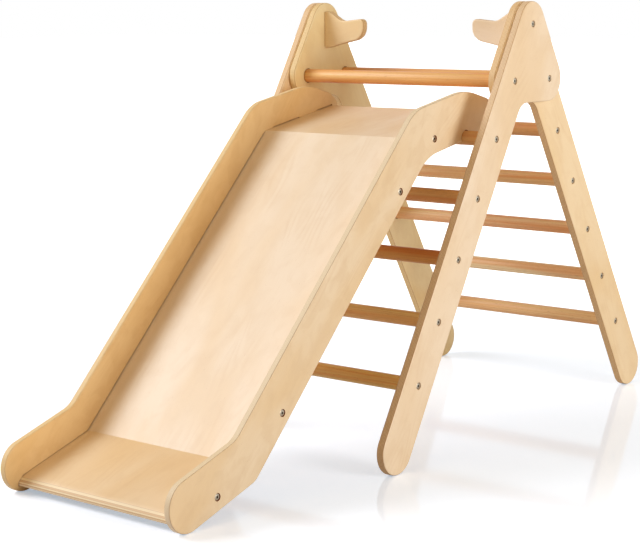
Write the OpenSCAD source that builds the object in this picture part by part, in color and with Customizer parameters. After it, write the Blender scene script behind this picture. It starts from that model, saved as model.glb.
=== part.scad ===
// Folding climbing triangle with a ramp.
// Two ladders share a pair of triangular heads. The ramp hooks over the second front rung.
// X runs across the width, the ramp runs out towards -Y, Z is up and the floor is Z = 0.

/* [Ladders] */
// Width over the outer plates
frame_w = 530; // [460:1:620]
// Distance from one rung to the next along a leg
rung_pitch = 122; // [112:1:135]
// Lean of each leg from the vertical, in degrees
leg_angle = 30.7; // [28:0.1:33]
// Width of a leg, and of the round corners of a head
leg_w = 86; // [76:1:92]
// Thickness of the plywood of the legs
leg_ply = 16; // [14:0.5:18]
// Diameter of a rung
rung_d = 27; // [24:0.5:28]
// Depth of the blind socket that a rung's end sits in
socket_depth = 5; // [3:0.5:7]
// Radius of the fillet where a leg leaves the head
crotch_r = 35; // [20:1:45]
// Space between the outer and the inner head plates
plate_gap = 1.2; // [0.8:0.1:2]

/* [Hand grips] */
// How far a grip stands out from the plate
grip_reach = 100; // [85:1:120]
// Thickness of a grip
grip_ply = 16; // [14:0.5:18]
// Height of the grip's foot above the apex bolt
grip_rise = 25; // [20:1:30]
// Height of the grip's foot below the apex bolt
grip_drop = 49; // [44:1:56]
// Depth of the straight foot of a grip
grip_foot = 12; // [8:1:16]
// From the plate to the waist of a grip
grip_waist = 45; // [38:1:52]
// Corner radius at the top of a grip's end
grip_top_r = 10; // [6:1:14]
// Corner radius at the underside of a grip's end
grip_under_r = 28; // [20:1:29]
// Radius of a grip's waist
grip_waist_r = 30; // [20:1:40]
// Radius where a grip leaves its foot
grip_foot_r = 4; // [2:0.5:6]
// Diameter of the dowels behind a grip
dowel_d = 6; // [5:0.5:8]
// Length of a dowel
dowel_l = 24; // [18:1:28]

/* [Ramp] */
// Width over the ramp's sides
ramp_w = 394; // [340:1:410]
// Thickness of the plywood of the ramp
ramp_ply = 13; // [12:0.5:15]
// Width of a side panel along the bed and the landing
side_w = 88; // [78:1:96]
// Height of a side panel at the hook
hook_h = 92; // [84:1:96]
// Depth of the groove that the boards sit in
groove_depth = 5; // [3:0.5:6]
// Slope of the platform, in degrees
platform_angle = 10.5; // [6:0.5:13]
// Slope of the landing, in degrees
landing_angle = 17; // [12:0.5:20]
// Run of the platform in front of the hook rung
platform_run = 127; // [110:1:150]
// Length of the platform behind the hook rung
platform_back = 87; // [70:1:92]
// Length of the bed between the two bends, along the lower edge
bed_len = 694; // [640:1:740]
// Run of the landing from the lower bend to the centre of the nose
landing_run = 154; // [130:1:190]
// How far the tail reaches behind the hook rung
tail_reach = 105; // [96:0.5:105]
// How far the crown of the tail lies behind the hook rung
crown_run = 16; // [8:1:24]
// Fall of the top edge behind the crown, in degrees
tail_fall = 14; // [10:0.5:18]

/* [Corners of a ramp side] */
// Lower edge at the lower bend
bend_low_under_r = 35; // [20:1:60]
// Top edge at the lower bend
bend_low_top_r = 50; // [30:1:90]
// Lower edge at the upper bend
bend_up_under_r = 100; // [60:5:130]
// Top edge at the upper bend
bend_up_top_r = 85; // [50:5:110]
// Top edge at the crown
crown_r = 150; // [80:5:180]
// Upper corner of the tail
tail_top_r = 50; // [30:1:55]
// Lower corner of the tail
tail_under_r = 10; // [6:1:14]

/* [Boards in the ramp] */
// Lower edge of a side to the underside of the bed
bed_inset = 15; // [10:0.5:20]
// Lower edge of a side to the underside of the landing
landing_inset = 17; // [12:0.5:22]
// How far the landing's front edge lies behind the tip of the nose
landing_setback = 21; // [12:1:30]
// Rounding of the landing's front edge, above
front_edge_r = 6; // [3:0.5:6]
// Rounding of the landing's front edge, below
front_under_r = 3; // [1:0.5:5]
// Wood between the hook notch and the platform's groove
hook_web = 3; // [2:0.5:5]
// Lower edge of the platform part of a side to the axis of the rung
hook_lip = 4; // [3:0.5:8]

// Hook rung to the platform's bolts, forwards
platform_bolt_run = 100; // [80:1:110]
// Upper bend to the bed's upper bolts
bed_bolt_top = 99; // [70:1:130]
// Lower bend to the bed's lower bolts
bed_bolt_low = 120; // [80:1:150]
// Lower bend to the landing's bolts
landing_bolt_run = 91; // [60:1:110]

/* [Fasteners] */
// Diameter of a bolt's shank
bolt_d = 6; // [5:0.5:7]
// Length of a bolt's shank
bolt_l = 38; // [34:1:44]
// Diameter of a bolt's head
bolt_head_d = 11; // [10:0.5:12]
// Thickness of a bolt's head
bolt_head_t = 2.5; // [2:0.1:3]
// Hex socket across its corners
hex_d = 4.6; // [3.5:0.1:5]
// Depth of a hex socket
hex_depth = 1.8; // [1:0.1:1.9]
// Diameter of the counterbore around a bolt's head
counterbore_d = 13.5; // [12.6:0.1:15]
// How far a bolt's head lies below the surface
head_sink = 0.8; // [0.4:0.1:1]
// Outside diameter of a threaded insert
insert_d = 10; // [9:0.5:11]
// Length of a threaded insert
insert_l = 18; // [14:1:22]
// Diameter of a barrel nut
barrel_d = 10; // [8:0.5:11]
// Length of a barrel nut
barrel_l = 10.5; // [9:0.5:10.5]
// Edge of a board to the axis of its barrel nuts
barrel_inset = 24; // [20:1:26]
// Diameter of the washers on the pivot bolts
washer_d = 20; // [16:1:24]

/* [Clearances] */
// Around a bolt or a dowel that does not turn, on the radius
bolt_clear = 0.1; // [0.05:0.01:0.2]
// Around the pivot bolts, on the radius
pivot_clear = 0.08; // [0.03:0.01:0.1]
// Below the pivot bolts' heads, and between their washers and the outer plate
pivot_play = 0.3; // [0.2:0.05:0.4]
// Around a rung's end in its socket and a board in its groove
seat_clear = 0.1; // [0.05:0.01:0.2]
// Between the hook notch and the rung
hook_clear = 0.5; // [0.3:0.1:1]

/* [Hidden] */
$fn = 64;
RUNGS = 6;
RUNG_NUMBERS = [2:RUNGS];
ARC_STEP = 6;
SIDES = [-1, 1];
BIRCH = [0.93, 0.84, 0.70];
BIRCH_SHADE = [0.89, 0.79, 0.63];
DOWEL_WOOD = [0.82, 0.57, 0.37];
STEEL = [0.72, 0.72, 0.70];
ZINC = [0.80, 0.78, 0.70];
NYLON = [0.95, 0.95, 0.93];

// Side-plane geometry. A point is [y, z], measured from the floor below the apex.
function dir(a) = [cos(a), sin(a)];
function normal(a) = [-sin(a), cos(a)];
function unit(v) = v / norm(v);
// Where the line through p at angle a meets the line through q at angle b
function crossing(p, a, q, b) =
    let (d = q - p) p + dir(a) * (d[0] * sin(b) - d[1] * cos(b)) / sin(b - a);

// A corner [y, z, r] between its neighbours, as an arc of radius r
function corner(before, at, after) =
    let (
        c = [at[0], at[1]],
        u = unit([before[0], before[1]] - c),
        v = unit([after[0], after[1]] - c),
        half = acos(u * v) / 2,
        middle = c + unit(u + v) * at[2] / sin(half),
        first = c + u * at[2] / tan(half) - middle,
        turn = 180 - 2 * half,
        way = u[0] * v[1] - u[1] * v[0] < 0 ? 1 : -1,
        start = atan2(first[1], first[0]),
        steps = ceil(turn / ARC_STEP)
    )
    at[2] == 0 ? [c] : [for (k = [0:steps]) middle + at[2] * dir(start + way * turn * k / steps)];
function rounded(pts) =
    let (n = len(pts))
    [for (i = [0:n - 1]) each corner(pts[(i + n - 1) % n], pts[i], pts[(i + 1) % n])];
function at_radius(p, r) = [p[0], p[1], r];

// Ladders
leg_r = leg_w / 2;
rung_r = rung_d / 2;
foot_steps = RUNGS + 1;
apex = [0, leg_r + foot_steps * rung_pitch * cos(leg_angle)];
leg_slope = 90 - leg_angle;
function front(i) = apex - i * rung_pitch * dir(leg_slope);
function rear(i) = [-front(i)[0], front(i)[1]];
outer_x = frame_w / 2;
outer_in_x = outer_x - leg_ply;
inner_out_x = outer_in_x - plate_gap;
inner_x = inner_out_x - leg_ply;
foot = front(foot_steps);
foot_end = foot - leg_r * dir(leg_slope);
head_base_z = rear(1)[1] - leg_r;

// Ramp: the lower edges of its platform, bed and landing, and the bends between them
hook = front(2);
side_r = side_w / 2;
notch_r = rung_r + hook_clear;
bend_up = hook - platform_run * dir(platform_angle) - hook_lip * normal(platform_angle);
bend_low_z = side_r * (1 - cos(landing_angle)) + landing_run * sin(landing_angle);
bed_angle = asin((bend_up[1] - bend_low_z) / bed_len);
bend_low = bend_up - bed_len * dir(bed_angle);
nose = bend_low - landing_run * dir(landing_angle) + side_r * normal(landing_angle);
nose_tip = nose - side_r * dir(landing_angle);
platform_lift = notch_r + hook_web;
ramp_x = ramp_w / 2;
side_in_x = ramp_x - ramp_ply;
board_x = side_in_x + groove_depth;

// The origin is below the middle of the whole length
shift_y = -(nose[0] - side_r + rear(foot_steps)[0] + leg_r) / 2;

module placed() {
    translate([0, shift_y, 0]) children();
}

// Extrudes a side-plane outline from x = x0 towards +X
module from_x(x0, t) {
    translate([x0, 0, 0]) rotate([90, 0, 90]) linear_extrude(t) children();
}

// A round bar or bore along X through the side-plane point p
module along_x(p, x0, x1, r) {
    translate([x0, p[0], p[1]]) rotate([0, 90, 0]) cylinder(h = x1 - x0, r = r);
}

// Mirrors a right-hand piece for side = -1
module on_side(side) {
    mirror([side < 0 ? 1 : 0, 0, 0]) children();
}

// Leg and head in one outline: apex, foot, crotch and the head's far corner
module leg_outline() {
    a = leg_slope;
    front_edge = apex + leg_r * normal(a);
    back_edge = apex - leg_r * normal(a);
    far_edge = apex + leg_r * dir(90 - a);
    polygon(rounded([
        at_radius(crossing(front_edge, a, far_edge, -a), leg_r),
        at_radius(foot_end + leg_r * normal(a), leg_r),
        at_radius(foot_end - leg_r * normal(a), leg_r),
        at_radius(crossing(back_edge, a, [0, head_base_z], 0), crotch_r),
        at_radius(crossing(far_edge, -a, [0, head_base_z], 0), leg_r)
    ]));
}

// Bolt hole with a counterbore in the face x = x_face, for a bolt that points towards -X
module bolt_hole(p, x_face, x_end, clear, play = 0) {
    along_x(p, x_end - 1, x_face + 1, bolt_d / 2 + clear);
    along_x(p, x_face - head_sink - bolt_head_t - play, x_face + 1, counterbore_d / 2);
}

// Bolt with its head below the face x = x_face and a shank that ends at x_end
module bolt(p, x_face, x_end) {
    x_top = x_face - head_sink;
    difference() {
        union() {
            along_x(p, x_top - bolt_head_t, x_top, bolt_head_d / 2);
            along_x(p, x_end, x_top - bolt_head_t, bolt_d / 2);
        }
        translate([x_top - hex_depth, p[0], p[1]]) rotate([0, 90, 0])
            cylinder(h = hex_depth + 1, d = hex_d, $fn = 6);
    }
}

// Threaded insert set into a rung or a grip whose end is at x_face
module insert(p, x_face) {
    difference() {
        along_x(p, x_face - insert_l, x_face, insert_d / 2);
        along_x(p, x_face - insert_l - 1, x_face + 1, bolt_d / 2 + bolt_clear);
    }
}

// Hole for an insert and for the end of the bolt behind it
module insert_hole(p, x_face) {
    along_x(p, x_face - insert_l, x_face + 1, insert_d / 2);
    along_x(p, x_face - bolt_l, x_face + 1, bolt_d / 2 + bolt_clear);
}

// Outer plate: front leg and head. The rungs' sockets open inwards.
module front_leg() {
    color(BIRCH) difference() {
        from_x(outer_in_x, leg_ply) leg_outline();
        for (i = RUNG_NUMBERS) {
            bolt_hole(front(i), outer_x, outer_in_x, bolt_clear);
            along_x(front(i), outer_in_x - 1, outer_in_x + socket_depth, rung_r + seat_clear);
        }
        bolt_hole(apex, outer_x, outer_in_x, bolt_clear);
        bolt_hole(front(1), outer_x, outer_in_x, bolt_clear);
        bolt_hole(rear(1), outer_x, outer_in_x, pivot_clear, pivot_play);
    }
}

// Inner plate: rear leg and head, the same outline turned about
module rear_leg() {
    color(BIRCH_SHADE) difference() {
        from_x(inner_x, leg_ply) mirror([1, 0, 0]) leg_outline();
        for (i = RUNG_NUMBERS)
            bolt_hole(rear(i), inner_out_x, inner_x, bolt_clear);
        for (p = [apex, front(1), rear(1)])
            along_x(p, inner_x - 1, inner_out_x + 1, bolt_d / 2 + bolt_clear);
        for (p = concat([front(1)], [for (i = [1:RUNGS]) rear(i)]))
            along_x(p, inner_x - 1, inner_x + socket_depth, rung_r + seat_clear);
        for (p = dowel_points)
            along_x(p, inner_x - 1, inner_x + dowel_l / 2, dowel_d / 2 + bolt_clear);
    }
}

// Rung whose ends are at x = -x_end and x_end, bored for its inserts
module rung(p, x_end) {
    color(DOWEL_WOOD) difference() {
        along_x(p, -x_end, x_end, rung_r);
        for (s = SIDES) on_side(s) insert_hole(p, x_end);
    }
}

front_rung_x = outer_in_x + socket_depth;
rear_rung_x = inner_x + socket_depth;

module front_rung(i) {
    rung(front(i), front_rung_x);
}

module rear_rung(i) {
    rung(rear(i), rear_rung_x);
}

module front_rung_bolts() {
    color(STEEL) for (s = SIDES, i = RUNG_NUMBERS)
        on_side(s) bolt(front(i), outer_x, outer_x - bolt_l);
}

module front_rung_inserts() {
    color(ZINC) for (s = SIDES, i = RUNG_NUMBERS)
        on_side(s) insert(front(i), front_rung_x);
}

// The bolts that lock the heads together. They end at the joint face between the plates.
module lock_bolts() {
    color(STEEL) for (s = SIDES, p = [apex, front(1)])
        on_side(s) bolt(p, outer_x, outer_in_x);
}

module rear_rung_bolts() {
    color(STEEL) for (s = SIDES, i = RUNG_NUMBERS)
        on_side(s) bolt(rear(i), inner_out_x, inner_out_x - bolt_l);
}

module rear_rung_inserts() {
    color(ZINC) for (s = SIDES, p = concat([front(1)], [for (i = [1:RUNGS]) rear(i)]))
        on_side(s) insert(p, rear_rung_x);
}

// The bolts that the rear ladder folds on
module pivot_bolts() {
    color(STEEL) for (s = SIDES)
        on_side(s) bolt(rear(1), outer_x, outer_x - bolt_l);
}

// Thin washers on the pivot bolts, against the inner plates
module pivot_washers() {
    color(NYLON) for (s = SIDES) on_side(s) difference() {
        along_x(rear(1), inner_out_x, outer_in_x - pivot_play, washer_d / 2);
        along_x(rear(1), inner_out_x - 1, outer_in_x + 1, bolt_d / 2 + bolt_clear);
    }
}

// Hand grip: a plate across the width, with a waist and a rounded knob. [x, z] from its foot.
dowel_points = [for (f = [0.4, 0.8]) [0, apex[1] - f * grip_drop]];

module grip_outline() {
    polygon(rounded([
        [0, grip_rise, 0],
        [0, -grip_drop, 0],
        [grip_foot, -grip_drop, grip_foot_r],
        [grip_waist, -0.83 * grip_drop, grip_waist_r],
        [grip_reach, -0.6 * grip_drop, grip_under_r],
        [grip_reach, 0.42 * grip_rise, grip_top_r],
        [grip_waist, 0.2 * grip_rise, grip_waist_r],
        [grip_foot, grip_rise, grip_foot_r]
    ]));
}

module grip() {
    color(BIRCH) difference() {
        translate([inner_x, grip_ply / 2, apex[1]]) rotate([90, 0, 0])
            linear_extrude(grip_ply) mirror([1, 0, 0]) grip_outline();
        insert_hole(apex, inner_x);
        for (p = dowel_points)
            along_x(p, inner_x - dowel_l / 2, inner_x + 1, dowel_d / 2 + bolt_clear);
    }
}

module grip_dowels() {
    color(DOWEL_WOOD) for (s = SIDES, p = dowel_points)
        on_side(s) along_x(p, inner_x - dowel_l / 2, inner_x + dowel_l / 2, dowel_d / 2);
}

module grip_inserts() {
    color(ZINC) for (s = SIDES) on_side(s) insert(apex, inner_x);
}

// Side of the ramp: landing with a round nose, bed, platform and a rounded tail
module side_outline() {
    pa = platform_angle;
    ba = bed_angle;
    la = landing_angle;
    tail = [hook[0] + tail_reach, 0];
    platform_edge = hook - hook_lip * normal(pa);
    crown = platform_edge + hook_h * normal(pa) + crown_run * dir(pa);
    polygon(rounded([
        at_radius(nose_tip - side_r * normal(la), side_r),
        at_radius(bend_low, bend_low_under_r),
        at_radius(bend_up, bend_up_under_r),
        at_radius(crossing(platform_edge, pa, tail, 90), tail_under_r),
        at_radius(crossing(crown, -tail_fall, tail, 90), tail_top_r),
        at_radius(crown, crown_r),
        at_radius(crossing(crown, pa, bend_up + side_w * normal(ba), ba), bend_up_top_r),
        at_radius(crossing(bend_low + side_w * normal(la), la, bend_up + side_w * normal(ba), ba),
            bend_low_top_r),
        at_radius(nose_tip + side_r * normal(la), side_r)
    ]));
}

// Half-round notch that hangs on the rung, open at the lower edge
module hook_notch() {
    translate(hook) rotate(platform_angle) {
        circle(notch_r);
        translate([-notch_r, -hook_h / 2]) square([2 * notch_r, hook_h / 2]);
    }
}

// The boards meet in mitres. gap widens a profile for the groove.
function on_platform(run, lift) = hook + run * dir(platform_angle) + lift * normal(platform_angle);
function on_bed(run, lift) = bend_up - run * dir(bed_angle) + lift * normal(bed_angle);
function on_landing(run, lift) = bend_low - run * dir(landing_angle) + lift * normal(landing_angle);
function mitre_up(d) =
    crossing(on_bed(0, bed_inset + d), bed_angle, on_platform(0, platform_lift + d), platform_angle);
function mitre_low(d) =
    crossing(on_bed(0, bed_inset + d), bed_angle, on_landing(0, landing_inset + d), landing_angle);
landing_front = landing_run + side_r - landing_setback;

module platform_profile(gap = 0) {
    polygon([
        mitre_up(-gap),
        on_platform(platform_back + gap, platform_lift - gap),
        on_platform(platform_back + gap, platform_lift + ramp_ply + gap),
        mitre_up(ramp_ply + gap)
    ]);
}

module bed_profile(gap = 0) {
    polygon([mitre_low(-gap), mitre_up(-gap), mitre_up(ramp_ply + gap), mitre_low(ramp_ply + gap)]);
}

module landing_profile(gap = 0) {
    polygon(rounded([
        at_radius(on_landing(landing_front + gap, landing_inset - gap), front_under_r),
        at_radius(mitre_low(-gap), 0),
        at_radius(mitre_low(ramp_ply + gap), 0),
        at_radius(on_landing(landing_front + gap, landing_inset + ramp_ply + gap), front_edge_r)
    ]));
}

// The ramp's bolts: [side-plane point, slope of its board]
ramp_bolt_points = [
    [on_platform(-platform_bolt_run, platform_lift + ramp_ply / 2), platform_angle],
    [on_bed(bed_bolt_top, bed_inset + ramp_ply / 2), bed_angle],
    [on_bed(bed_len - bed_bolt_low, bed_inset + ramp_ply / 2), bed_angle],
    [on_landing(landing_bolt_run, landing_inset + ramp_ply / 2), landing_angle]
];

module ramp_side() {
    color(BIRCH) difference() {
        from_x(side_in_x, ramp_ply) difference() {
            side_outline();
            hook_notch();
        }
        from_x(side_in_x - 1, groove_depth + 1) {
            platform_profile(seat_clear);
            bed_profile(seat_clear);
            landing_profile(seat_clear);
        }
        for (b = ramp_bolt_points) bolt_hole(b[0], ramp_x, side_in_x, bolt_clear);
    }
}

// Bores in a board's edge for its bolts, and from below for their barrel nuts
module board_bores(bolts) {
    for (s = SIDES, b = bolts) on_side(s) {
        along_x(b[0], ramp_x - bolt_l - 2, ramp_x, bolt_d / 2 + bolt_clear);
        barrel(b, barrel_d / 2 + bolt_clear, ramp_ply);
    }
}

// A bar square to a board, from just under its top face down for the length l
module barrel(b, r, l) {
    translate([board_x - barrel_inset, b[0][0], b[0][1]]) rotate([b[1], 0, 0])
        translate([0, 0, barrel_l / 2 - l]) cylinder(h = l, r = r);
}

module ramp_platform() {
    color(BIRCH_SHADE) difference() {
        from_x(-board_x, 2 * board_x) platform_profile();
        board_bores([ramp_bolt_points[0]]);
    }
}

module ramp_bed() {
    color(BIRCH) difference() {
        from_x(-board_x, 2 * board_x) bed_profile();
        board_bores([ramp_bolt_points[1], ramp_bolt_points[2]]);
    }
}

module ramp_landing() {
    color(BIRCH_SHADE) difference() {
        from_x(-board_x, 2 * board_x) landing_profile();
        board_bores([ramp_bolt_points[3]]);
    }
}

module ramp_bolts() {
    color(STEEL) for (s = SIDES, b = ramp_bolt_points)
        on_side(s) bolt(b[0], ramp_x, ramp_x - bolt_l);
}

module ramp_barrel_nuts() {
    color(ZINC) for (s = SIDES, b = ramp_bolt_points) on_side(s) difference() {
        barrel(b, barrel_d / 2, barrel_l);
        along_x(b[0], ramp_x - bolt_l - 2, ramp_x, bolt_d / 2 + bolt_clear);
    }
}

placed() on_side(-1) front_leg();  // front_leg_left
placed() front_leg();  // front_leg_right
placed() front_rung(2);  // front_rung_2
placed() front_rung(3);  // front_rung_3
placed() front_rung(4);  // front_rung_4
placed() front_rung(5);  // front_rung_5
placed() front_rung(6);  // front_rung_6
placed() front_rung_bolts();
placed() front_rung_inserts();
placed() lock_bolts();
placed() on_side(-1) rear_leg();  // rear_leg_left
placed() rear_leg();  // rear_leg_right
placed() rung(front(1), rear_rung_x);  // top_rung_front
placed() rear_rung(1);  // top_rung_rear
placed() rear_rung(2);  // rear_rung_2
placed() rear_rung(3);  // rear_rung_3
placed() rear_rung(4);  // rear_rung_4
placed() rear_rung(5);  // rear_rung_5
placed() rear_rung(6);  // rear_rung_6
placed() rear_rung_bolts();
placed() rear_rung_inserts();
placed() pivot_bolts();
placed() pivot_washers();
placed() on_side(-1) grip();  // grip_left
placed() grip();  // grip_right
placed() grip_dowels();
placed() grip_inserts();
placed() on_side(-1) ramp_side();  // ramp_side_left
placed() ramp_side();  // ramp_side_right
placed() ramp_platform();
placed() ramp_bed();
placed() ramp_landing();
placed() ramp_bolts();
placed() ramp_barrel_nuts();
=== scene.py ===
import math

import bpy
from mathutils import Matrix, Vector


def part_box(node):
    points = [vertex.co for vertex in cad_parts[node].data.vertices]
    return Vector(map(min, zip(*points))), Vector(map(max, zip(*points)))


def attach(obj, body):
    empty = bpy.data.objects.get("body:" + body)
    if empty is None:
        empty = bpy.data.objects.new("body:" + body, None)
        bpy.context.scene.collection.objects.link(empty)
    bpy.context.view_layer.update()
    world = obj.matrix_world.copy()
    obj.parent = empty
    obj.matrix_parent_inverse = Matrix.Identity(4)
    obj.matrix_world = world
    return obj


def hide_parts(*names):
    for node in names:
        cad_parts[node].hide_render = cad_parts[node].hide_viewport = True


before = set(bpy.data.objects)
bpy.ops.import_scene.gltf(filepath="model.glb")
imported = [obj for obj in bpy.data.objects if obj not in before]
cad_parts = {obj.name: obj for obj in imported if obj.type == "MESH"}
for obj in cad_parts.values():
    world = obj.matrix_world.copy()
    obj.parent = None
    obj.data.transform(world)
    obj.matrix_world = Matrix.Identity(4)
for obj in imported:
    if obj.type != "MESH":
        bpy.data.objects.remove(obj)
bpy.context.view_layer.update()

# ---------------------------------------------------------------------------------------------
# Camera. It stands in front of the ramp, well to the right, at the height of the hand grips,
# with a long lens, so that the right-hand plates and the whole bed of the ramp are seen.
apex_y = sum(corner.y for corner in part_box("grip_left")) / 2
azimuth, drop, roll = math.radians(39.168), math.radians(7.68), math.radians(-0.479)

ahead = Vector((-math.sin(azimuth) * math.cos(drop), math.cos(azimuth) * math.cos(drop),
                -math.sin(drop)))
level = Vector((math.cos(azimuth), math.sin(azimuth), 0))
rise = level.cross(ahead)
right = math.cos(roll) * level + math.sin(roll) * rise
upright = math.cos(roll) * rise - math.sin(roll) * level

camera_place = Vector((1.92173, apex_y - 2.72811, 0.81922))
camera_data = bpy.data.cameras.new("camera")
camera_data.lens = 93.5
camera_data.shift_x, camera_data.shift_y = 0.0270, -0.0692
camera_data.clip_end = 60
camera = bpy.data.objects.new("camera", camera_data)
bpy.context.scene.collection.objects.link(camera)
turned = Matrix((right, upright, -ahead)).transposed()
camera.matrix_world = Matrix.Translation(camera_place) @ turned.to_4x4()
bpy.context.scene.camera = camera


# ---------------------------------------------------------------------------------------------
# Floor and light. A white, slightly glossy studio floor glows out to pure white, as the sky behind
# it does. A warm even dome lights the toy, with a large soft lamp from the front left, which
# throws the pale shadows, and a smaller one from the right.
class Wire:
    """A socket in a material's nodes. Arithmetic on it adds the Math nodes."""

    def __init__(self, tree, socket=None):
        self.tree, self.socket = tree, socket

    def node(self, kind, inputs=None, out=0, **settings):
        """A new node with its settings made and its inputs linked or set, as its output at out,
        where it has one."""
        made = self.tree.nodes.new("ShaderNode" + kind)
        for name, value in settings.items():
            setattr(made, name, value)
        for name, value in (inputs or {}).items():
            if isinstance(value, Wire):
                self.tree.links.new(value.socket, made.inputs[name])
            else:
                made.inputs[name].default_value = value
        return Wire(self.tree, made.outputs[out] if made.outputs else None)

    def math(self, operation, *values):
        """The named calculation on this number and the others."""
        return self.node("Math", dict(enumerate((self,) + values)), operation=operation)

    def __add__(self, other):
        return self.math("ADD", other)

    def __sub__(self, other):
        return self.math("SUBTRACT", other)

    def __mul__(self, other):
        return self.math("MULTIPLY", other)

    def __rsub__(self, other):
        return self.math("MULTIPLY_ADD", -1, other)

    __radd__, __rmul__ = __add__, __mul__

    def along(self, direction):
        """How far a point lies along a direction."""
        return self.node("VectorMath", {0: self, 1: direction}, out=1, operation="DOT_PRODUCT")

    def between(self, low, high):
        """0 at low, 1 at high, smooth in between."""
        return self.node("MapRange", {"Value": self, "From Min": low, "From Max": high},
                         interpolation_type="SMOOTHSTEP")

    def mix(self, one, other):
        """From the first colour to the second as this number goes from 0 to 1."""
        return self.node("Mix", {0: self, 6: one, 7: other}, out=2, data_type="RGBA")

    def tinted_for_shade(self, stain):
        """This colour multiplied by a tint. Where the tint is set per piece, it paints the light
        and shade that the piece takes in its place.
        """
        return self.node("Mix", {0: 1.0, 6: self, 7: stain}, out=2, data_type="RGBA",
                         blend_type="MULTIPLY")

    def cloudy(self, scale, detail):
        """Soft noise that is fixed to the object."""
        place = self.node("TexCoord", out="Object")
        return self.node("TexNoise", {"Vector": place, "Scale": scale, "Detail": detail})

    def surface(self, inputs):
        """Ends the material in a Principled shader with these inputs."""
        self.node("OutputMaterial", {"Surface": self.node("BsdfPrincipled", inputs)})


def srgb(red, green, blue):
    """A colour on the screen's 0 to 255 scale, as the linear colour that a node takes."""
    return tuple((c / 255) ** 2.2 for c in (red, green, blue)) + (1,)


def plain_material(name):
    """An empty material and the wire that its nodes hang on."""
    material = bpy.data.materials.new(name)
    material.use_nodes = True
    material.node_tree.nodes.clear()
    return material, Wire(material.node_tree)


glow_from, glow_full = 0.9, 2.2
floor_material, wire = plain_material("studio_floor")
place = wire.node("TexCoord", out="Object")
outwards = wire.node("VectorMath", {0: place}, out=1, operation="LENGTH")
glow = outwards.between(glow_from, glow_full).mix(srgb(142, 163, 180), srgb(255, 255, 255))
seen = wire.node("LightPath", out="Is Camera Ray")
wire.surface({"Base Color": seen.mix(srgb(226, 226, 236), srgb(253, 252, 255)), "Roughness": 0.08,
              "Specular IOR Level": 0.2, "Specular Tint": srgb(228, 232, 255),
              "Emission Color": seen.mix(srgb(0, 0, 0), glow), "Emission Strength": 1.0})

bpy.ops.mesh.primitive_plane_add(size=60, location=(0, 0, 0))
floor = bpy.context.object
floor.name = "studio_floor"
floor.data.materials.append(floor_material)

world = bpy.data.worlds.new("studio")
bpy.context.scene.world = world
world.use_nodes = True
world.node_tree.nodes.clear()
wire = Wire(world.node_tree)
paths = [wire.node("LightPath", out=kind)
         for kind in ("Is Camera Ray", "Is Glossy Ray", "Is Transmission Ray")]
seen = paths[0].math("MAXIMUM", paths[1]).math("MAXIMUM", paths[2])
dome = wire.node("Background", {"Color": srgb(255, 216, 162), "Strength": 0.37})
white = wire.node("Background", {"Color": srgb(255, 255, 255), "Strength": 1.0})
wire.node("OutputWorld", {"Surface": wire.node("MixShader", {0: seen, 1: dome, 2: white})})


def soft_lamp(name, place, aim, size, power, colour):
    """A square studio lamp that hangs at place and faces aim."""
    lamp = bpy.data.lights.new(name, "AREA")
    lamp.size, lamp.energy, lamp.color = size, power, colour
    holder = bpy.data.objects.new(name, lamp)
    bpy.context.scene.collection.objects.link(holder)
    holder.location = place
    holder.rotation_euler = (Vector(aim) - Vector(place)).to_track_quat("-Z", "Y").to_euler()


soft_lamp("key_lamp", (-2.9, -2.2, 3.0), (0, 0, 0.4), 2.6, 148, (0.95, 1.0, 1.08))
soft_lamp("side_lamp", (4.2, 0.0, 1.1), (0, 0, 0.4), 1.6, 90, (0.98, 1.0, 1.02))

bpy.context.scene.view_settings.view_transform = "Standard"

# ---------------------------------------------------------------------------------------------
# Front legs. Two outer plates of 16 mm birch plywood, each sawn in one piece from the round
# foot to the head. The rims are rounded over, and the rungs' bolts sit in counterbores.
leg_ply, ply_layers, leg_width, rim = 0.016, 11, 0.086, 0.0028
outer_face = 0.265
outer_inside = outer_face - leg_ply
rung_step, leg_lean, foot_step = 0.122, 30.7, 7
rung_steps = range(2, foot_step)
crotch_radius = 0.035
rung_radius, socket_depth, socket_ring = 0.0135, 0.005, 0.0012
counterbore, head_sink, head_thick = 0.00675, 0.0008, 0.0025
margin, skim = 0.002, 0.0002
arc_step, rim_angle, soft_angle = 4, math.radians(50), math.radians(35)


def slope(angle):
    """The direction in the side plane that climbs at an angle towards the rear."""
    return Vector((0, math.cos(math.radians(angle)), math.sin(math.radians(angle))))


def square(angle):
    """The direction square to that slope, upwards."""
    return Vector((0, -math.sin(math.radians(angle)), math.cos(math.radians(angle))))


def meet(one, first, other, second):
    """Where the line through one at the angle first crosses the line through other at second."""
    apart = other - one
    run = apart.dot(square(second)) / slope(first).dot(square(second))
    return one + slope(first) * run


leg_slope = 90 - leg_lean
apex = Vector((0, apex_y, leg_width / 2 + foot_step * rung_step * math.cos(math.radians(leg_lean))))


def front(step):
    """The axis of a bolt or rung, in steps from the apex down the front leg."""
    return apex - slope(leg_slope) * rung_step * step


def rear(step):
    """The same on the rear leg."""
    return Vector((0, 2 * apex_y - front(step).y, front(step).z))


def select_only(piece):
    """Leaves the piece as the only one selected, and active."""
    bpy.ops.object.select_all(action="DESELECT")
    piece.select_set(True)
    bpy.context.view_layer.objects.active = piece


def finish_with(piece, kind, **settings):
    """Adds a modifier and applies it."""
    select_only(piece)
    modifier = piece.modifiers.new(kind.lower(), kind)
    for name, value in settings.items():
        setattr(modifier, name, value)
    bpy.ops.object.modifier_apply(modifier=modifier.name)


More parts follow.
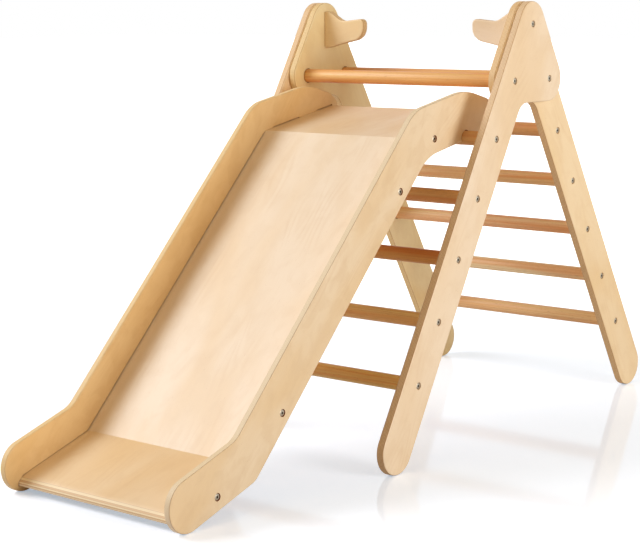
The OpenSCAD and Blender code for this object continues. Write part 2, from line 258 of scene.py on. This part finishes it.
def saw_panel(name, corners, near_x, thickness, edge_round):
    """A panel across X, from near_x on. Its outline is drawn from corner to corner, each a place
    and a radius to spin a vertex through, then filled, thickened and rounded over."""
    bpy.ops.object.select_all(action="DESELECT")
    bpy.ops.mesh.primitive_plane_add(size=0.01)
    panel = bpy.context.object
    panel.name = panel.data.name = name
    bpy.ops.object.mode_set(mode="EDIT")
    bpy.ops.mesh.select_mode(type="VERT")
    bpy.ops.mesh.merge(type="CENTER")
    at = Vector((0, 0, 0))
    for number, (corner, radius) in enumerate(corners):
        before, after = corners[number - 1][0], corners[(number + 1) % len(corners)][0]
        back, on = (before - corner).normalized(), (after - corner).normalized()
        half = back.angle(on) / 2
        start = corner + back * radius / math.tan(half)
        if number == 0:
            bpy.ops.transform.translate(value=start - at)
        else:
            bpy.ops.mesh.extrude_region_move(TRANSFORM_OT_translate={"value": start - at})
        at = start
        if radius:
            turn = math.pi - 2 * half
            way = 1 if back.cross(on).x > 0 else -1
            centre = corner + (back + on).normalized() * radius / math.sin(half)
            steps = max(2, math.ceil(math.degrees(turn) / arc_step))
            bpy.ops.mesh.spin(steps=steps, angle=way * turn, center=centre, axis=(1, 0, 0))
            at = corner + on * radius / math.tan(half)
    bpy.ops.mesh.select_all(action="SELECT")
    bpy.ops.mesh.remove_doubles(threshold=1e-5)
    bpy.ops.mesh.edge_face_add()
    bpy.ops.transform.translate(value=(near_x + thickness / 2, 0, 0))
    bpy.ops.object.mode_set(mode="OBJECT")
    finish_with(panel, "SOLIDIFY", thickness=thickness, offset=0)
    bpy.ops.object.mode_set(mode="EDIT")
    bpy.ops.mesh.select_all(action="SELECT")
    bpy.ops.mesh.normals_make_consistent(inside=False)
    bpy.ops.object.mode_set(mode="OBJECT")
    if edge_round:
        finish_with(panel, "BEVEL", width=edge_round, segments=4, limit_method="ANGLE",
                    angle_limit=rim_angle)
    return panel


def bar(middle, length, radius, corners=48, tilt=(0, math.pi / 2, 0)):
    """A round bar, along X where nothing else is said. Its place is still in the object."""
    bpy.ops.object.select_all(action="DESELECT")
    bpy.ops.mesh.primitive_cylinder_add(vertices=corners, radius=radius, depth=length,
                                        location=middle, rotation=tilt)
    return bpy.context.object


def bars(rods):
    """One object of round bars along X, each (place in the side plane, from x, to x, radius)."""
    return join([bar(place + Vector(((x_from + x_to) / 2, 0, 0)), abs(x_to - x_from), radius)
                 for place, x_from, x_to, radius in rods])


def join(pieces):
    """Several objects as one, with its place in its mesh."""
    bpy.ops.object.select_all(action="DESELECT")
    for piece in pieces:
        piece.select_set(True)
    bpy.context.view_layer.objects.active = pieces[0]
    if len(pieces) > 1:
        bpy.ops.object.join()
    bpy.ops.object.transform_apply(location=True, rotation=True, scale=True)
    return bpy.context.object


def cut(piece, tool):
    """Takes the tool's shape out of the piece, and the tool away."""
    finish_with(piece, "BOOLEAN", operation="DIFFERENCE", object=tool, solver="EXACT")
    bpy.data.objects.remove(tool)


def darken(piece, dark, near_x, far_x, places=(), radius=0.0):
    """Paints shade into a recess: gives the dark material to the faces whose middle lies between
    two distances from the centre of the width and, where places are given, within a radius of
    one of those."""
    if dark.name not in piece.data.materials:
        piece.data.materials.append(dark)
    index = piece.data.materials.find(dark.name)
    for face in piece.data.polygons:
        off = [(face.center - place).yz.length for place in places]
        if near_x < abs(face.center.x) < far_x and (not off or min(off) < radius):
            face.material_index = index


def smooth(piece):
    """Rounded edges run smoothly into faces that stay flat."""
    select_only(piece)
    bpy.ops.object.shade_smooth_by_angle(angle=soft_angle)
    finish_with(piece, "WEIGHTED_NORMAL", keep_sharp=True)


def birch_ply(name, through, grain, middle, thickness, layers, seed, piece_shade_tint=None, clouding=0.2,
              line=0.05, pale_ply_highlight=0.0, striped=0.0):
    """Lacquered birch plywood: rotary-cut face veneers with soft contour figure and fine pores,
    and crossed plies with thin glue lines wherever an edge runs down through them. Line is how
    dark the outer face's glue line is; the paleness of the edges lightens the inner plies, partly
    as paler ply and partly as a painted highlight on rims and noses; striped is their contrast.
    A tint, where given, multiplies the whole colour and paints the light and shade of the piece."""
    material, wire = plain_material(name)
    through, grain = Vector(through), Vector(grain)
    place = wire.node("TexCoord", out="Object")
    depth = place.along(through) - through.dot(Vector(middle))
    long, wide = place.along(grain), place.along(through.cross(grain))

    def noise(scale_long, scale_wide, scale_deep, detail=2.0, warp=0.0, rough=0.5, shift=0.0):
        spot = wire.node("CombineXYZ", {0: long * scale_long + (seed * 7.3 + shift),
                                        1: wide * scale_wide + seed * 3.1,
                                        2: depth * scale_deep + seed})
        return wire.node("TexNoise", {"Vector": spot, "Scale": 1.0, "Detail": detail,
                                      "Roughness": rough, "Distortion": warp})

    patches = noise(3.2, 7.0, 7.0, 2.0, 0.4).between(0.35, 0.7)
    clouds = noise(21.0, 30.0, 30.0, 3.0, 0.5, 0.55, shift=3.0).between(0.44, 0.62)
    field = noise(2.1, 11.0, 3.0, 1.5, 0.3, shift=5.0)
    rings = (field * 88.0 + noise(30.0, 160.0, 30.0) * 1.6).math("SINE") * 0.5 + 0.5
    calm = noise(6.0, 12.0, 4.0, 1.0, shift=9.0).between(0.38, 0.68)
    figure = rings.math("POWER", 2.0) * calm
    pores = noise(38.0, 1500.0, 1500.0, 3.0, rough=0.6).between(0.54, 0.78)
    flecks = noise(170.0, 1050.0, 1050.0, 1.0, shift=2.0).between(0.75, 0.79)

    face = patches.mix(srgb(250, 232, 205), srgb(244, 219, 181))
    face = (clouds * clouding).mix(face, srgb(232, 205, 167))
    face = (figure * 0.14).mix(face, srgb(219, 182, 133))
    face = (pores * 0.20).mix(face, srgb(214, 176, 128))
    face = (flecks * 0.40).mix(face, srgb(178, 132, 86))

    ply = depth * (layers / thickness) + layers / 2
    ply = ply.math("MAXIMUM", 0.5).math("MINIMUM", layers - 0.5)
    crossed = (ply.math("FLOOR") * 0.5).math("FRACT") * 2
    glue = ((ply.math("FRACT") - 0.5).math("ABSOLUTE")).between(0.42, 0.49)
    fibres = noise(420.0, 420.0, 700.0, 3.0, rough=0.7).between(0.3, 0.75)
    off_middle = (ply - layers / 2).math("ABSOLUTE")
    outermost = off_middle.between(layers / 2 - 1.02, layers / 2 - 0.98)
    inside = 1 - outermost
    second = off_middle.between(layers / 2 - 2.02, layers / 2 - 1.98)
    first_line = (ply - (layers - 1)).math("ABSOLUTE").between(0.28, 0.12)
    end_grain = fibres.mix(srgb(232, 200, 157), srgb(216, 180, 134))
    end_grain = second.mix(end_grain, srgb(208, 169, 122))
    long_grain = fibres.mix(srgb(246, 222, 185), srgb(236, 208, 167))
    wood = outermost.mix(crossed.mix(long_grain, end_grain), face)
    # Lightened inner plies: partly paler ply, partly a painted highlight on rims and noses.
    wood = (inside * pale_ply_highlight).mix(wood, srgb(255, 245, 221))
    wood = (inside * (1 - crossed) * striped).mix(wood, srgb(204, 160, 108))
    wood = (glue * 0.45 + first_line * line).mix(wood, srgb(142, 97, 58))
    # The tint per piece paints the light and shade that the piece takes in its place.
    if piece_shade_tint:
        wood = wood.tinted_for_shade(srgb(*piece_shade_tint))

    relief = (pores * -0.5 + figure * 0.3) - (glue * 0.8 + crossed * fibres * 0.4)
    bump = wire.node("Bump", {"Height": relief, "Strength": 0.28, "Distance": 0.0002})
    wire.surface({"Base Color": wood, "Roughness": 0.40 + pores * 0.10 + inside * 0.14,
                  "Normal": bump, "Specular IOR Level": 0.42})
    return material


# Painted shade for recesses: a dark brown given to the walls of grooves, seam slots, rung sockets,
# the hook notch and the ramp's counterbores.
painted_recess_shade, wire = plain_material("painted_recess_shade")
fibres = wire.cloudy(600.0, 2.0)
wire.surface({"Base Color": fibres.mix(srgb(176, 98, 42), srgb(138, 74, 32)), "Roughness": 0.8})

leg_radius = leg_width / 2
foot_end = front(foot_step) - slope(leg_slope) * leg_radius
front_line, back_line = apex + square(leg_slope) * leg_radius, apex - square(leg_slope) * leg_radius
far_line = apex + slope(90 - leg_slope) * leg_radius
head_foot = Vector((0, apex_y, rear(1).z - leg_radius))
leg_corners = [
    (meet(front_line, leg_slope, far_line, -leg_slope), leg_radius),
    (foot_end + square(leg_slope) * leg_radius, leg_radius),
    (foot_end - square(leg_slope) * leg_radius, leg_radius),
    (meet(back_line, leg_slope, head_foot, 0), crotch_radius),
    (meet(far_line, -leg_slope, head_foot, 0), leg_radius),
]


def sink_heads(panel, side, face_x, places):
    """Counterbores for bolt heads in the outer face of a panel."""
    floor_of_bore = face_x - head_sink - head_thick
    cut(panel, bars([(place, side * floor_of_bore, side * (face_x + margin), counterbore)
                     for place in places]))


def seat_rungs(plate, side, inside_x, places):
    """Blind sockets for rung ends in the inner face of a plate."""
    cut(plate, bars([(place, side * (inside_x - margin), side * (inside_x + socket_depth),
                      rung_radius + socket_ring) for place in places]))


def shade_sockets(plate, inside_x, places):
    """Shades the gap round the rungs in their sockets."""
    darken(plate, painted_recess_shade, inside_x + skim, inside_x + socket_depth + skim,
           places, rung_radius + margin)


front_rungs = [front(step) for step in rung_steps]
for side, hand in ((-1, "left"), (1, "right")):
    plate = saw_panel("front_plate_" + hand, leg_corners,
                      min(side * outer_face, side * outer_inside), leg_ply, rim)
    sink_heads(plate, side, outer_face, [front(step) for step in range(foot_step)] + [rear(1)])
    seat_rungs(plate, side, outer_inside, front_rungs)
    smooth(plate)
    # The tint per hand paints the light and shade: the left plate darker and warmer than the right.
    plate.data.materials.append(birch_ply(
        "birch_front_" + hand, (side, 0, 0), slope(leg_slope),
        (side * (outer_face - leg_ply / 2), 0, 0), leg_ply, ply_layers, 3.0 + side,
        (253, 245, 230) if side < 0 else (253, 250, 245)))
    shade_sockets(plate, outer_inside, front_rungs)
    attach(plate, "front_frame")
    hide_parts("front_leg_" + hand)

# ---------------------------------------------------------------------------------------------
# Front rungs. Five turned hardwood dowels of 27 mm, oiled reddish brown, whose ends stand in
# blind sockets in the outer plates. Each end is bored for its threaded insert and bolt.
chamfer, end_angle = 0.0008, math.radians(60)
insert_radius, insert_length = 0.005, 0.018
shank_radius, shank_length, shank_room = 0.003, 0.038, 0.0001


def pick_end(piece, end):
    """Opens a turned piece for editing, with the flat of one end selected."""
    bpy.ops.object.mode_set(mode="EDIT")
    bpy.ops.mesh.select_mode(type="FACE")
    bpy.ops.mesh.select_all(action="DESELECT")
    bpy.ops.object.mode_set(mode="OBJECT")
    for face in piece.data.polygons:
        face.select = face.normal.x * end > 0.99
    bpy.ops.object.mode_set(mode="EDIT")


def step_end(narrower, run):
    """Draws the selected flat in by so much, then moves it along X."""
    bpy.ops.mesh.inset(thickness=narrower)
    bpy.ops.mesh.extrude_region_move(TRANSFORM_OT_translate={"value": (run, 0, 0)})


def turn_rung(name, place, half_length):
    """A dowel across the width, its ends chamfered, then sunk for insert and bolt."""
    dowel = join([bar(place, 2 * half_length, rung_radius, corners=72)])
    dowel.name = dowel.data.name = name
    finish_with(dowel, "BEVEL", width=chamfer, segments=2, limit_method="ANGLE",
                angle_limit=end_angle)
    for end in (-1, 1):
        pick_end(dowel, end)
        step_end(rung_radius - chamfer - insert_radius, -end * insert_length)
        step_end(insert_radius - shank_radius - shank_room, -end * (shank_length - insert_length))
        bpy.ops.object.mode_set(mode="OBJECT")
    select_only(dowel)
    bpy.ops.object.shade_smooth_by_angle(angle=soft_angle)
    return dowel


def dowel_wood(name, seed, dowel_shade_tint=(255, 255, 255)):
    """Reddish hardwood seen along its length: long streaks, short pores and a satin oiled finish.
    The tint multiplies the colour and paints the light and shade that each dowel takes in its
    place.
    """
    material, wire = plain_material(name)
    place = wire.node("TexCoord", out="Object")
    long, back, up = (place.along(Vector(axis)) for axis in ((1, 0, 0), (0, 1, 0), (0, 0, 1)))

    def noise(scale_long, scale_round, detail=2.0, warp=0.0, shift=0.0):
        spot = wire.node("CombineXYZ", {0: long * scale_long + (seed * 5.7 + shift),
                                        1: back * scale_round + seed,
                                        2: up * scale_round + seed * 2.3})
        return wire.node("TexNoise", {"Vector": spot, "Scale": 1.0, "Detail": detail,
                                      "Distortion": warp})

    bands = noise(1.6, 60.0, 2.0, 0.6).between(0.32, 0.68)
    streaks = noise(5.0, 420.0, 3.0, 0.3, 4.0).between(0.36, 0.72)
    pores = noise(95.0, 1700.0, 2.0, 0.0, 8.0).between(0.60, 0.74)
    wood = bands.mix(srgb(255, 240, 190), srgb(246, 196, 140))
    wood = (streaks * 0.42).mix(wood, srgb(222, 160, 110))
    wood = (pores * 0.35).mix(wood, srgb(150, 100, 66))
    relief = pores * -1.0 - streaks * 0.3
    bump = wire.node("Bump", {"Height": relief, "Strength": 0.25, "Distance": 0.0002})
    wire.surface({"Base Color": wood.tinted_for_shade(srgb(*dowel_shade_tint)), "Roughness": 0.34 + streaks * 0.12,
                  "Normal": bump, "Specular IOR Level": 0.32})
    return material


# Each dowel's tint paints the light and shade that it takes in its place.
for step, dowel_shade_tint in ((2, (229, 195, 162)), (3, (236, 199, 164)), (4, (224, 177, 129)),
                  (5, (255, 235, 203)), (6, (255, 235, 190))):
    dowel = turn_rung(f"front_dowel_{step}", front(step), outer_inside + socket_depth)
    dowel.data.materials.append(dowel_wood(f"hardwood_front_{step}", 1.7 * step, dowel_shade_tint))
    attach(dowel, "front_frame")
    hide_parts(f"front_rung_{step}")

# ---------------------------------------------------------------------------------------------
# Bolts of the front rungs, and the inserts that they screw into. Nickel-plated furniture bolts
# with a low rounded head and a hex socket, each sunk a little below the face of the plate.
head_radius, head_rim = 0.0055, 0.0007
key_radius, key_depth, key_twist = 0.0023, 0.0018, 0.9


def metal(name, colour, rough, scale):
    """Plated metal with a fine dull bloom."""
    material, wire = plain_material(name)
    bloom = wire.cloudy(scale, 3.0).between(0.3, 0.7)
    shade = bloom.mix(colour, tuple(c * 0.72 for c in colour[:3]) + (1,))
    wire.surface({"Base Color": shade, "Metallic": 1.0, "Roughness": rough + bloom * 0.12})
    return material


nickel = metal("nickel_plate", srgb(210, 200, 178), 0.26, 700.0)
# Painted shade: the dark metal laid in the bolts' hex sockets.
painted_socket_shade = metal("painted_socket_shade", srgb(118, 110, 98), 0.5, 700.0)
zinc = metal("zinc_plate", srgb(214, 210, 194), 0.34, 500.0)


def turn_bolt(length):
    """One bolt that points towards -X, the outer face of its head at X = 0, and a hex socket in
    the head."""
    bolt = join([bar((-head_thick / 2, 0, 0), head_thick, head_radius)])
    pick_end(bolt, -1)
    step_end(head_radius - shank_radius, head_thick - length)
    bpy.ops.object.mode_set(mode="OBJECT")
    finish_with(bolt, "BEVEL", width=head_rim, segments=3, limit_method="ANGLE",
                angle_limit=end_angle)
    cut(bolt, join([bar((0, 0, 0), 2 * key_depth, key_radius, corners=6)]))
    select_only(bolt)
    bpy.ops.object.shade_smooth_by_angle(angle=soft_angle)
    bolt.data.materials.append(nickel)
    # Painted shade in the hex socket.
    darken(bolt, painted_socket_shade, skim, key_depth + skim, [Vector((0, 0, 0))], key_radius)
    return bolt


def set_bolts(name, bolt, places):
    """Copies of the bolt in one object, each at (side, place, how far out its head's face is) and
    each turned further round than the last."""
    copies = []
    for side, place, face_x in places:
        twin = bolt.copy()
        twin.data = bolt.data.copy()
        bpy.context.scene.collection.objects.link(twin)
        moved = Matrix.Translation(place + Vector((side * face_x, 0, 0)))
        turned = Matrix.Rotation(math.pi if side < 0 else 0, 4, "Z")
        twisted = Matrix.Rotation(key_twist * len(copies), 4, "X")
        twin.data.transform(moved @ turned @ twisted)
        copies.append(twin)
    joined = join(copies)
    joined.name = joined.data.name = name
    return joined


def repaint(node, material):
    """Gives a node that stays as it is a material of this scene."""
    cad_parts[node].data.materials.clear()
    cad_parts[node].data.materials.append(material)


head_face = outer_face - head_sink
long_bolt = turn_bolt(shank_length - head_sink)
bolts = set_bolts("front_dowel_bolts", long_bolt,
                  [(side, place, head_face) for side in (-1, 1) for place in front_rungs])
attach(bolts, "front_frame")
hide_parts("front_rung_bolts")
repaint("front_rung_inserts", zinc)

# ---------------------------------------------------------------------------------------------
# Rear legs. Two inner plates, the outer plates' outline turned about, lying against them. The
# rungs' bolts show in their outer faces below the head, and all seven rungs stand between them.
head_gap = 0.0012
inner_face = outer_inside - head_gap
inner_inside = inner_face - leg_ply
turned_corners = [(Vector((0, 2 * apex_y - corner.y, corner.z)), radius)
                  for corner, radius in reversed(leg_corners)]
rear_rungs = [rear(step) for step in rung_steps]
inner_rungs = [front(1), rear(1)] + rear_rungs

for side, hand in ((-1, "left"), (1, "right")):
    plate = saw_panel("rear_plate_" + hand, turned_corners,
                      min(side * inner_face, side * inner_inside), leg_ply, rim)
    sink_heads(plate, side, inner_face, rear_rungs)
    seat_rungs(plate, side, inner_inside, inner_rungs)
    smooth(plate)
    # The tints per hand paint the light and shade that each plate takes.
    plate.data.materials.append(birch_ply(
        "birch_rear_" + hand, (-side, 0, 0), slope(-leg_slope),
        (side * (inner_face - leg_ply / 2), 0, 0), leg_ply, ply_layers, 8.0 + side,
        (255, 253, 224) if side < 0 else (255, 248, 228)))
    shade_sockets(plate, inner_inside, inner_rungs)
    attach(plate, "rear_frame")
    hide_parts("rear_leg_" + hand)

# ---------------------------------------------------------------------------------------------
# Top rungs and rear rungs. Seven more dowels of the same wood between the inner plates: one at
# each lower corner of the head, the front one as a hand bar, and five down the rear legs.
# Each dowel's tint, last in its row, paints the light and shade that it takes in its place.
for name, node, place, dowel_shade_tint in (("hand_bar", "top_rung_front", front(1), (247, 210, 172)),
                               ("rear_bar", "top_rung_rear", rear(1), (247, 214, 180)),
                               ("rear_dowel_2", "rear_rung_2", rear(2), (230, 194, 163)),
                               ("rear_dowel_3", "rear_rung_3", rear(3), (247, 221, 195)),
                               ("rear_dowel_4", "rear_rung_4", rear(4), (254, 238, 229)),
                               ("rear_dowel_5", "rear_rung_5", rear(5), (255, 255, 255)),
                               ("rear_dowel_6", "rear_rung_6", rear(6), (249, 231, 214))):
    dowel = turn_rung(name, place, inner_inside + socket_depth)
    seed = 2.9 * place.z * 10 + place.y * 3
    dowel.data.materials.append(dowel_wood("hardwood_" + name, seed, dowel_shade_tint))
    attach(dowel, "rear_frame")
    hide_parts(node)

rear_head_face = inner_face - head_sink
bolts = set_bolts("rear_dowel_bolts", long_bolt,
                  [(side, place, rear_head_face) for side in (-1, 1) for place in rear_rungs])
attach(bolts, "rear_frame")
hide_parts("rear_rung_bolts")
repaint("rear_rung_inserts", zinc)

# ---------------------------------------------------------------------------------------------
# Hand grips. Two small plywood plates that stand square on the inner plates at the apex, with a
# waist and a rounded knob to hold. Dowels and the apex bolt's insert fix them from behind.
grip_ply, grip_reach, grip_rise, grip_drop = 0.016, 0.100, 0.025, 0.049
grip_foot, grip_waist = 0.012, 0.045
grip_outline = [
    (0, grip_rise, 0), (0, -grip_drop, 0), (grip_foot, -grip_drop, 0.004),
    (grip_waist, -0.83 * grip_drop, 0.030), (grip_reach, -0.6 * grip_drop, 0.028),
    (grip_reach, 0.42 * grip_rise, 0.010), (grip_waist, 0.2 * grip_rise, 0.030),
    (grip_foot, grip_rise, 0.004),
]
grip_corners = [(Vector((0, out, up)), radius) for out, up, radius in grip_outline]
for side, hand in ((-1, "left"), (1, "right")):
    grip = saw_panel("hand_grip_" + hand, grip_corners, -grip_ply / 2, grip_ply, rim)
    quarter = Matrix.Rotation(side * math.pi / 2, 4, "Z")
    grip.data.transform(Matrix.Translation((side * inner_inside, apex_y, apex.z)) @ quarter)
    smooth(grip)
    # The left grip's tint paints its warmer shade.
    grip.data.materials.append(birch_ply(
        "birch_grip_" + hand, (0, 1, 0), (1, 0, 0), (0, apex_y, 0), grip_ply, ply_layers,
        12.0 + side, (255, 248, 224) if side < 0 else None))
    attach(grip, "rear_frame")
    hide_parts("grip_" + hand)
repaint("grip_dowels", dowel_wood("hardwood_pegs", 4.0))
repaint("grip_inserts", zinc)

# ---------------------------------------------------------------------------------------------
# Pivot and lock bolts. The same bolts hold the heads together: two for the rear legs to fold on,
# with nylon washers between the plates, and four that are taken out before folding.
bolts = set_bolts("fold_bolts", long_bolt, [(side, rear(1), head_face) for side in (-1, 1)])
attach(bolts, "rear_frame")
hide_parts("pivot_bolts")
bpy.data.objects.remove(long_bolt)

short_bolt = turn_bolt(leg_ply - head_sink)
bolts = set_bolts("head_lock_bolts", short_bolt,
                  [(side, place, head_face) for side in (-1, 1) for place in (apex, front(1))])
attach(bolts, "front_frame")
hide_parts("lock_bolts")
bpy.data.objects.remove(short_bolt)

nylon, wire = plain_material("nylon")
cloud = wire.cloudy(90.0, 2.0)
wire.surface({"Base Color": cloud.mix(srgb(244, 243, 238), srgb(232, 230, 222)),
              "Roughness": 0.35 + cloud * 0.2})
repaint("pivot_washers", nylon)

# ---------------------------------------------------------------------------------------------
# Ramp sides. Two S-shaped panels of 13 mm birch plywood: a round nose on the floor, the bed,
# the platform with a half-round notch over the second rung, and a rounded tail. Grooves routed
# in their inner faces take the boards.
ramp_ply, ramp_layers, ramp_face = 0.013, 9, 0.197
ramp_inside = ramp_face - ramp_ply
groove, groove_room = 0.005, 0.0001
board_end = ramp_inside + groove
side_width, side_rim = 0.088, 0.0024
platform_slope, landing_slope = 10.5, 17.0
bed_length, landing_run, nose_radius = 0.694, 0.154, 0.044
hook = front(2)
hook_ahead, hook_lip, hook_height = 0.127, 0.004, 0.092
notch_radius, notch_mouth, all_through = 0.015, 0.03, 0.2
crown_run, crown_fall, tail_reach = 0.016, -14, 0.105
bend_up = hook - slope(platform_slope) * hook_ahead - square(platform_slope) * hook_lip
landing_rise = (nose_radius * (1 - math.cos(math.radians(landing_slope)))
                + landing_run * math.sin(math.radians(landing_slope)))
bed_slope = math.degrees(math.asin((bend_up.z - landing_rise) / bed_length))
bend_low = bend_up - slope(bed_slope) * bed_length
nose_under = bend_low - slope(landing_slope) * (landing_run + nose_radius)
platform_edge = hook - square(platform_slope) * hook_lip
crown = (platform_edge + square(platform_slope) * hook_height
         + slope(platform_slope) * crown_run)
tail = hook + Vector((0, tail_reach, 0))
bed_top = bend_up + square(bed_slope) * side_width
side_corners = [
    (nose_under, nose_radius),
    (bend_low, 0.035),
    (bend_up, 0.100),
    (meet(platform_edge, platform_slope, tail, 90), 0.010),
    (meet(crown, crown_fall, tail, 90), 0.050),
    (crown, 0.150),
    (meet(crown, platform_slope, bed_top, bed_slope), 0.085),
    (meet(bend_low + square(landing_slope) * side_width, landing_slope, bed_top, bed_slope), 0.050),
    (nose_under + square(landing_slope) * side_width, nose_radius),
]


def on_platform(run, lift):
    """A place on the platform, so far behind the hook and above the sides' lower edge."""
    return hook + slope(platform_slope) * run + square(platform_slope) * lift


def on_bed(run, lift):
    """A place on the bed, so far down from the upper bend."""
    return bend_up - slope(bed_slope) * run + square(bed_slope) * lift


def on_landing(run, lift):
    """A place on the landing, so far down from the lower bend."""
    return bend_low - slope(landing_slope) * run + square(landing_slope) * lift


platform_lift, bed_lift, landing_lift = 0.017, 0.015, 0.017
landing_short, nose_run, run_on = 0.021, 0.014, 12
platform_back, landing_front = 0.087, landing_run + nose_radius - landing_short


def mitre_up(extra):
    """Where platform and bed meet, at a height above their undersides."""
    return meet(on_bed(0, bed_lift + extra), bed_slope,
                on_platform(0, platform_lift + extra), platform_slope)


def mitre_low(extra):
    """Where bed and landing meet."""
    return meet(on_bed(0, bed_lift + extra), bed_slope,
                on_landing(0, landing_lift + extra), landing_slope)


def board_profile(part, room):
    """A board's section as corners and radii, let out by the room that its groove leaves it. The
    landing's front edge is rounded over in a long nose, and its groove runs on ahead of that."""
    low, high = -room, ramp_ply + room
    if part == "platform":
        back = platform_back + room
        return [(mitre_up(low), 0), (on_platform(back, platform_lift + low), 0.003),
                (on_platform(back, platform_lift + high), 0.005), (mitre_up(high), 0)]
    if part == "bed":
        return [(mitre_low(low), 0), (mitre_up(low), 0), (mitre_up(high), 0), (mitre_low(high), 0)]
    nose = landing_front + run_on * room
    return [(on_landing(nose, landing_lift + low), 0.0012),
            (mitre_low(low), 0), (mitre_low(high), 0),
            (on_landing(nose - nose_run, landing_lift + high), 0.040),
            (on_landing(nose, landing_lift + ramp_ply / 2), 0.008)]


# The dark gaps above the boards where they enter the sides: from, to, slope and height.
seam, thin_seam, seam_overlap, seam_short = 0.0016, 0.0010, 0.001, 0.012
seams = [(on_platform(start, platform_lift), on_platform(end, platform_lift), platform_slope, seam)
         for start, end in ((-0.104, -0.022), (0.036, platform_back))]
seams += [
    (mitre_low(0), mitre_up(0), bed_slope, seam),
    (on_landing(landing_front - seam_short, landing_lift), mitre_low(0), landing_slope, thin_seam),
]
platform_bolt, bed_bolt, low_bed_bolt, landing_bolt = -0.100, 0.099, 0.120, 0.091
ramp_bolts = [on_platform(platform_bolt, platform_lift + ramp_ply / 2),
              on_bed(bed_bolt, bed_lift + ramp_ply / 2),
              on_bed(bed_length - low_bed_bolt, bed_lift + ramp_ply / 2),
              on_landing(landing_bolt, landing_lift + ramp_ply / 2)]

for side, hand in ((-1, "left"), (1, "right")):
    panel = saw_panel("ramp_cheek_" + hand, side_corners,
                      min(side * ramp_face, side * ramp_inside), ramp_ply, side_rim)
    slot_from = min(side * (ramp_inside - margin), side * board_end)
    slot_depth = groove + margin
    for part in ("platform", "bed", "landing"):
        profile = board_profile(part, groove_room)
        cut(panel, saw_panel("groove", profile, slot_from, slot_depth, 0))
    for low, high, angle, height in seams:
        lift_low = square(angle) * (ramp_ply - seam_overlap)
        lift_high = square(angle) * (ramp_ply + height)
        profile = [(low + lift_low, 0), (high + lift_low, 0),
                   (high + lift_high, 0), (low + lift_high, 0)]
        cut(panel, saw_panel("groove", profile, slot_from, slot_depth, 0))
    under = hook - square(platform_slope) * notch_mouth
    across = slope(platform_slope) * notch_radius
    profile = [(hook - across, 0), (under - across, 0), (under + across, 0), (hook + across, 0)]
    cut(panel, saw_panel("notch", profile, -all_through, 2 * all_through, 0))
    cut(panel, bars([(hook, -all_through, all_through, notch_radius)]))
    sink_heads(panel, side, ramp_face, ramp_bolts)
    smooth(panel)
    # The tints paint light and shade, the left cheek darker and warmer; the lightened plies are
    # partly a painted highlight on the rims.
    panel.data.materials.append(birch_ply(
        "birch_cheek_" + hand, (side, 0, 0), slope(bed_slope),
        (side * (ramp_face - ramp_ply / 2), 0, 0), ramp_ply, ramp_layers, 16.0 + side,
        (244, 226, 187) if side < 0 else (246, 241, 229), clouding=0.30, line=0.5, pale_ply_highlight=0.7))
    # Painted shade on the walls of the grooves and seam slots, the hook notch and the counterbores.
    darken(panel, painted_recess_shade, ramp_inside + margin + skim, board_end + skim)
    darken(panel, painted_recess_shade, ramp_inside + side_rim + skim, ramp_face - side_rim - skim,
           [hook], notch_radius + margin / 2)
    darken(panel, painted_recess_shade, ramp_face - head_sink - head_thick - skim, ramp_face - skim,
           ramp_bolts, counterbore + margin / 2)
    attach(panel, "ramp")
    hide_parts("ramp_side_" + hand)

# ---------------------------------------------------------------------------------------------
# Ramp boards. Platform, bed and landing are 13 mm plywood too, the landing's free edge rounded
# over in a long nose. They meet in mitres, stand in the sides' grooves, and are bored in their
# ends and from below for the bolts and their barrel nuts.
barrel_inset, barrel_radius, barrel_roof = 0.024, 0.005, 0.00125
# The tints paint light and shade: the landing darker and warmer, the platform a little darker.
for part, angle, holes, seed, piece_shade_tint in (
        ("platform", platform_slope, ramp_bolts[:1], 21.0, (252, 249, 245)),
        ("bed", bed_slope, ramp_bolts[1:3], 24.0, None),
        ("landing", landing_slope, ramp_bolts[3:], 27.0, (252, 243, 225))):
    profile = board_profile(part, 0)
    board = saw_panel("ramp_board_" + part, profile, -board_end, 2 * board_end, 0)
    for side in (-1, 1):
        cut(board, bars([(place, side * (ramp_face - shank_length - margin), side * ramp_face,
                          shank_radius + shank_room) for place in holes]))
        for place in holes:
            middle = place + Vector((side * (board_end - barrel_inset), 0, 0))
            cut(board, join([bar(middle - square(angle) * barrel_roof, ramp_ply,
                                 barrel_radius + shank_room, tilt=(math.radians(angle), 0, 0))]))
    smooth(board)
    middle = (profile[0][0] + profile[3][0]) / 2
    # The landing's lightened plies are partly a painted highlight on its nose.
    layers, pale_ply_highlight, striped = (7, 1.0, 0.6) if part == "landing" else (ramp_layers, 0.0, 0.0)
    board.data.materials.append(birch_ply(
        "birch_board_" + part, square(angle), slope(angle), middle, ramp_ply, layers, seed, piece_shade_tint,
        clouding=0.16, line=0.0, pale_ply_highlight=pale_ply_highlight, striped=striped))
    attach(board, "ramp")
    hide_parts("ramp_" + part)

long_bolt = turn_bolt(shank_length - head_sink)
ramp_head_face = ramp_face - head_sink
bolts = set_bolts("ramp_cheek_bolts", long_bolt,
                  [(side, place, ramp_head_face) for side in (-1, 1) for place in ramp_bolts])
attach(bolts, "ramp")
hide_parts("ramp_bolts")
bpy.data.objects.remove(long_bolt)
repaint("ramp_barrel_nuts", zinc)
